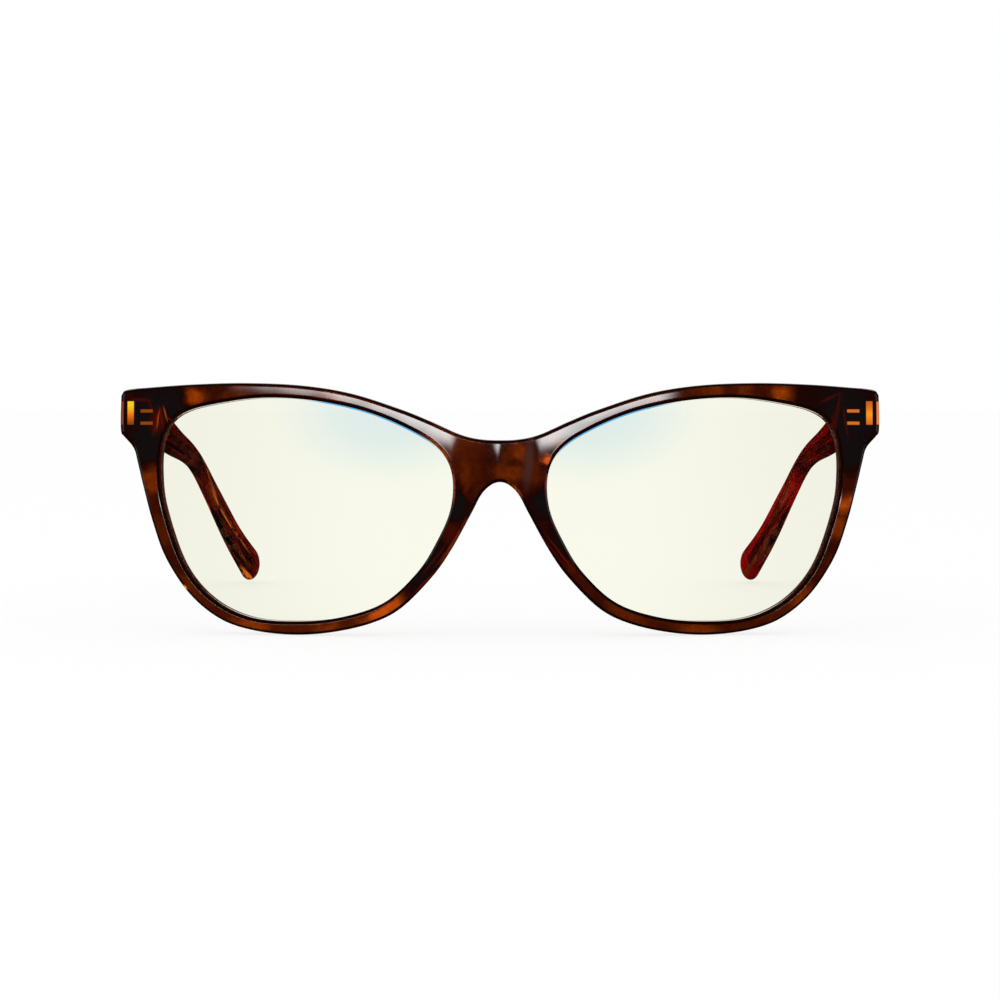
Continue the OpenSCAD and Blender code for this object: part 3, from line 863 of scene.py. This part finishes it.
# Of each temple: tint, blotch colour, what each millimetre takes off red, green and blue, the
# pattern's place, and its streaks of caught light. A streak is its height above the temple's
# centre line, half width, where it starts and ends along y, and its colour.
TEMPLE_PAINTS = {
    "left": (
        (1, 0.6, 0.5), (0.46, 0.055, 0.055), (0.19, 1.3, 1.7), 3.0,
        [(1.2, 0.25, 100, 118, DIM_STREAK), (-0.6, 0.5, 122, 140, DIM_STREAK),
         (2.9, 0.22, 40, 75, BRIGHT_STREAK)],
    ),
    "right": (
        (1, 0.6, 0.5), (0.19, 0.045, 0.05), (0.32, 1.0, 1.5), 41.0,
        [(0.9, 0.12, 90, 124, BRIGHT_STREAK), (1.5, 0.16, 122, 133, BRIGHT_STREAK),
         (-1.9, 0.25, 134, 144, BRIGHT_STREAK), (-0.6, 0.3, 116, 138, DIM_STREAK)],
    ),
}


def acetate_temple(name, tint, blotch, absorbed, place, streaks):
    """Clear coloured acetate. Its depth gives the colour, with darker blotches at the surface."""
    paint = Paint(name)
    x, y, z = paint.axes(paint.place)
    dropped = paint.math("MULTIPLY", paint.math("SUBTRACT", y, JOINT_Y), ARM_DROP)
    past_bend = paint.math("MAXIMUM", paint.math("SUBTRACT", y, BEND_Y), 0)
    dropped = paint.math("ADD", dropped, paint.math("MULTIPLY", past_bend, EAR_DROP))
    height = paint.math("SUBTRACT", paint.math("ADD", z, dropped), TEMPLE_PATH[0][2])
    squeezed = paint.math("MULTIPLY", y, LENGTHWISE)
    along = paint.node("ShaderNodeCombineXYZ", X=x, Y=squeezed, Z=height)
    shifted = paint.vector("ADD", along, (place, 0, 0))
    cloud = paint.noise(0.30, 4, shifted, distortion=0.9)
    tone = paint.math("ADD", cloud, paint.offset(paint.noise(6.0, 2), 0.05))
    colour = paint.ramp(tone, [(0.40, blotch), (0.58, tint)])
    broken = paint.step(paint.noise(0.9, 3, shifted), 0.38, 0.58)
    clear = 1.0
    fade = 4
    # Painted streaks of caught light, opaque and coloured where they lie.
    for level, half, y_start, y_end, shade in streaks:
        off = paint.math("ABSOLUTE", paint.math("SUBTRACT", height, level))
        streak = paint.math("MULTIPLY", paint.step(off, half * 1.5, half * 0.4), broken)
        streak = paint.math("MULTIPLY", streak, paint.step(y, y_start - fade, y_start + fade))
        streak = paint.math("MULTIPLY", streak, paint.step(y, y_end + fade, y_end - fade))
        colour = paint.mix(paint.step(streak, 0.0, 0.12), colour, (*shade, 1))
        clear = paint.math("SUBTRACT", clear, streak, clamp=True)
    paint.colour(colour)
    paint.link(clear, paint.surface.inputs["Transmission Weight"])
    polish(paint, 0.03)
    volume = paint.tree.nodes.new("ShaderNodeVolumeAbsorption")
    density = max(absorbed)
    volume.inputs["Density"].default_value = density / MM
    volume.inputs["Color"].default_value = (*(1 - a / density for a in absorbed), 1)
    paint.link(volume.outputs[0], paint.tree.nodes["Material Output"].inputs["Volume"])
    return paint.material


# ---- Lens, steel --------------------------------------------------------------------------------

CREAM, CREAM_AT_TEMPLE = (0.955, 0.960, 0.835, 1), (0.895, 0.900, 0.780, 1)
# Colours of the painted reflection up by the nose and of the painted blue glint line at the rim.
REFLECTION_BLUE_GREY, GLINT_BLUE = (0.755, 0.855, 0.830, 1), (0.020, 0.220, 0.640, 1)
REFLECTION_SHIFT = -2             # both lenses' painted light lies this far off the mirrored places
LENS_IOR = 1.15             # low, so that the lens's inside doesn't mirror the white room
LENS_EDGE_RAMP = [(0.35, (0.045, 0.010, 0.004)), (0.65, (0.13, 0.040, 0.022))]
STEEL_RAMP = [(0.3, (0.38, 0.37, 0.35)), (0.7, (0.68, 0.67, 0.64))]


def filter_lens(name, side, at_rim=False):
    """Cream filter lens, with painted light: blue-grey up by the nose, a blue glint line at the
    rim.
    """
    paint = Paint(name)
    across = paint.math("MULTIPLY", paint.axes(paint.place)[0], side)
    base = paint.mix(paint.step(across, 60, 20), CREAM_AT_TEMPLE, CREAM)
    # Painted reflection: blue-grey up by the nose.
    reflection_patch = paint.blob(paint.place, side * 18 + REFLECTION_SHIFT, 18, 15, 9.5)
    colour = paint.mix(reflection_patch, base, REFLECTION_BLUE_GREY)
    if at_rim:
        # Painted glint: the blue line along the rim by the nose.
        glint = paint.blob(paint.place, side * 21 + REFLECTION_SHIFT, 16, 12, 5, side * -16, soft=0.5)
        colour = paint.mix(glint, colour, GLINT_BLUE)
    paint.colour(colour)
    surface = paint.surface.inputs
    surface["Transmission Weight"].default_value = 1.0
    surface["Roughness"].default_value = 0.0
    surface["IOR"].default_value = LENS_IOR
    return paint.material


def ground_edge():
    """The lens's matt edge and back bevel, given painted shade in the acetate's colour for their
    groove.
    """
    paint = Paint("lens_ground_edge")
    paint.colour(paint.ramp(paint.noise(1.2, 3), LENS_EDGE_RAMP))
    paint.surface.inputs["Roughness"].default_value = 0.6
    paint.surface.inputs["Specular IOR Level"].default_value = 0.2
    return paint.material


def brushed_steel():
    paint = Paint("hinge_brushed_steel")
    streak = paint.noise(1.0, 3, paint.vector("MULTIPLY", paint.place, (3.0, 3.0, 22.0)))
    paint.colour(paint.ramp(streak, STEEL_RAMP))
    rough = paint.math("ADD", paint.math("MULTIPLY", streak, 0.22), 0.16)
    paint.link(rough, paint.surface.inputs["Roughness"])
    paint.surface.inputs["Metallic"].default_value = 1.0
    paint.bump(streak, 0.15, 0.02)
    return paint.material


# ---- Pieces -------------------------------------------------------------------------------------

def dress(piece, materials, body, nodes):
    for material in materials:
        piece.data.materials.append(material)
    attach(piece, body)
    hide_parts(*nodes)


front_material = acetate_front("front_tortoise_acetate")
pad_material = acetate_front("pad_tortoise_acetate", with_edge_shade=False)
dress(front_piece(), [front_material, opening_wall()],
      "front", ["front_frame"])
temple_materials = {
    hand: acetate_temple(f"{hand}_temple_acetate", *TEMPLE_PAINTS[hand])
    for hand in ("left", "right")
}
lens_edge = ground_edge()
for hand, side in (("left", 1), ("right", -1)):
    tint = filter_lens(f"{hand}_lens_tint", side)
    rim_glint = filter_lens(f"{hand}_lens_rim_glint", side, at_rim=True)
    dress(lens_piece(f"{hand}_filter_lens", side), [tint, rim_glint, lens_edge],
          "front", [f"{hand}_lens"])
    dress(nose_pad_piece(f"{hand}_pad_ridge", side), [pad_material],
          "front", [f"{hand}_nose_pad"])
    dress(temple_piece(f"{hand}_temple_arm", side), [temple_materials[hand]],
          f"{hand}_arm", [f"{hand}_temple"])

STEEL_ROUND = 0.08          # rounding of the steel pieces' edges
steel = brushed_steel()
for name, node in frame["nodes"].items():
    if "hinge" in name or "wire" in name:
        node.data.materials.clear()
        node.data.materials.append(steel)
        easing = node.modifiers.new("eased_edges", "BEVEL")
        easing.width = STEEL_ROUND * MM
        easing.segments = 2
        easing.limit_method = "ANGLE"
        easing.angle_limit = math.radians(40)


# ---- Stage, light and camera --------------------------------------------------------------------

def emission(name, strength):
    material = bpy.data.materials.new(name)
    material.use_nodes = True
    tree = material.node_tree
    tree.nodes.clear()
    glow = tree.nodes.new("ShaderNodeEmission")
    glow.inputs["Color"].default_value = (1, 1, 1, 1)
    glow.inputs["Strength"].default_value = strength
    out = tree.nodes.new("ShaderNodeOutputMaterial")
    tree.links.new(glow.outputs[0], out.inputs["Surface"])
    return material


def reflector(name, corners, material):
    """A glowing card that shows only in reflections. Its corners are in the front's frame."""
    mesh = bpy.data.meshes.new(name)
    mesh.from_pydata([FRONT_TO_ROW @ Vector(c) for c in corners], [], [(0, 1, 2, 3)])
    mesh.materials.append(material)
    card = bpy.data.objects.new(name, mesh)
    bpy.context.scene.collection.objects.link(card)
    card.visible_camera = False
    card.visible_diffuse = False
    card.visible_transmission = False
    card.visible_shadow = False


SOFTBOX_Y = -1200.0
SOFTBOX_ZOOM = 12.24        # how much larger the softbox is than its image in the dome
SOFTBOX_GLOW = 20.0
# The softbox's ends and its lower and upper edge, in its image in the dome.
SOFTBOX_X = (-60, 36)
SOFTBOX_Z = (9.0, 27.0)


def brow_softbox():
    """The softbox above the camera. Its lower edge is soft, dips in the middle and rises to both
    sides."""
    paint = Paint("softbox_gradient")
    image = paint.vector("MULTIPLY", paint.place, (1 / SOFTBOX_ZOOM,) * 3)
    across, _, up = paint.axes(image)
    edge = paint.math("ADD", paint.math("MULTIPLY", paint.math("ABSOLUTE", across), 0.25), 12.5)
    dip = paint.math("MULTIPLY", paint.step(paint.math("ABSOLUTE", across), 13.0, 1.0), 1.3)
    over = paint.math("ADD", paint.math("SUBTRACT", up, edge), dip)
    bright = paint.math("MULTIPLY", paint.step(over, -2.4, 2.4), paint.step(over, 4.6, 2.6))
    bright = paint.math("MULTIPLY", bright, paint.step(across, 34.5, 29.0))
    bright = paint.math("MULTIPLY", bright, paint.step(across, -58.0, -40.0))
    tree = paint.tree
    glow = tree.nodes.new("ShaderNodeEmission")
    paint.link(paint.math("MULTIPLY", bright, SOFTBOX_GLOW), glow.inputs["Strength"])
    paint.link(glow.outputs[0], tree.nodes["Material Output"].inputs["Surface"])
    tree.nodes.remove(paint.surface)
    z_low, z_high = (z * SOFTBOX_ZOOM for z in SOFTBOX_Z)
    x_low, x_high = (x * SOFTBOX_ZOOM for x in SOFTBOX_X)
    corners = [(x_low, SOFTBOX_Y, z_low), (x_high, SOFTBOX_Y, z_low),
               (x_high, SOFTBOX_Y, z_high), (x_low, SOFTBOX_Y, z_high)]
    reflector("brow_softbox", corners, paint.material)


def side_cards():
    material = emission("side_card_glow", 0.5)
    for hand, x in (("right", -1100), ("left", 1100)):
        corners = [(x, -560, -150), (x, 160, -150), (x, 160, 620), (x, -560, 620)]
        reflector(f"side_card_{hand}", corners, material)


def back_card():
    corners = [(-700, 1100, 500), (700, 1100, 500), (700, 700, 1300), (-700, 700, 1300)]
    reflector("back_card", corners, emission("back_card_glow", 1.4))


def floor():
    mesh = bpy.data.meshes.new("pale_floor")
    half = 3.0
    corners = [(-half, -half, 0), (half, -half, 0), (half, half, 0), (-half, half, 0)]
    mesh.from_pydata(corners, [], [(0, 1, 2, 3)])
    material = bpy.data.materials.new("pale_floor")
    material.use_nodes = True
    surface = material.node_tree.nodes["Principled BSDF"].inputs
    surface["Base Color"].default_value = (0.20, 0.20, 0.20, 1)
    surface["Specular IOR Level"].default_value = 0.0
    surface["Roughness"].default_value = 1.0
    surface["Emission Color"].default_value = (1, 1, 1, 1)
    surface["Emission Strength"].default_value = 0.79
    mesh.materials.append(material)
    plane = bpy.data.objects.new("pale_floor", mesh)
    bpy.context.scene.collection.objects.link(plane)
    plane.visible_glossy = False


def studio():
    world = bpy.data.worlds.new("white_studio")
    bpy.context.scene.world = world
    world.use_nodes = True
    world.node_tree.nodes["Background"].inputs["Color"].default_value = (1, 1, 1, 1)
    world.node_tree.nodes["Background"].inputs["Strength"].default_value = 1.0
    world.cycles_visibility.glossy = False
    bpy.context.scene.view_settings.view_transform = "Standard"
    lamp = bpy.data.lights.new("top_fill", "AREA")
    lamp.energy = 0.6
    lamp.size = 0.8
    fill = bpy.data.objects.new("top_fill", lamp)
    fill.location = (-0.3, -0.4, 0.9)
    aim = Vector((0, 0, 0.02)) - fill.location
    fill.rotation_euler = aim.to_track_quat("-Z", "Y").to_euler()
    fill.visible_glossy = False
    bpy.context.scene.collection.objects.link(fill)


CAMERA_PLACE = Vector((0, -550, 1.63))
FOCAL_LENGTH = 109.4


def camera():
    data = bpy.data.cameras.new("camera")
    data.sensor_width = 36.0
    data.lens = FOCAL_LENGTH
    data.clip_start, data.clip_end = 0.01, 20
    seen = bpy.data.objects.new("camera", data)
    ahead = FRONT_TO_ROW.to_3x3() @ Vector((0, 1, 0))
    seen.location = FRONT_TO_ROW @ CAMERA_PLACE
    seen.rotation_euler = ahead.to_track_quat("-Z", "Y").to_euler()
    bpy.context.scene.collection.objects.link(seen)
    bpy.context.scene.camera = seen


studio()
floor()
brow_softbox()
side_cards()
back_card()
camera()
